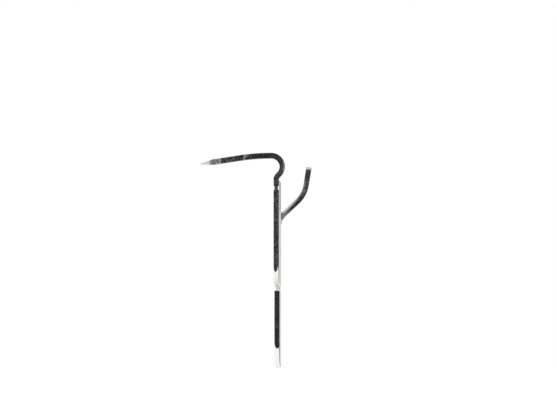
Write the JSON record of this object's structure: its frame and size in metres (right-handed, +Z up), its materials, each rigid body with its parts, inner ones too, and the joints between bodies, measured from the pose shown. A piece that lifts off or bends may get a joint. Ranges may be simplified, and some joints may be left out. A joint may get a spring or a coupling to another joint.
{
  "type": "drywall picture hook",
  "caption": "Folded sheet-steel picture hook: curved prongs push into plasterboard, and a raised tongue in front takes the wire or hanger of a frame.",
  "frame": {"origin": "on the face of the wall, on the hook's centre line, level with the bottom of the slots beside its tongue", "axes": "+Z up the wall, +Y straight into the wall, X along the wall"},
  "size_m": [0.024, 0.0175, 0.0338],
  "materials": {
    "black_steel": "thin semi-gloss black over steel, rubbed bright on the points, the notches and the rounded corners"
  },
  "bodies": {
    "root": {"picture_hook": "black_steel"}
  },
  "joints": []
}
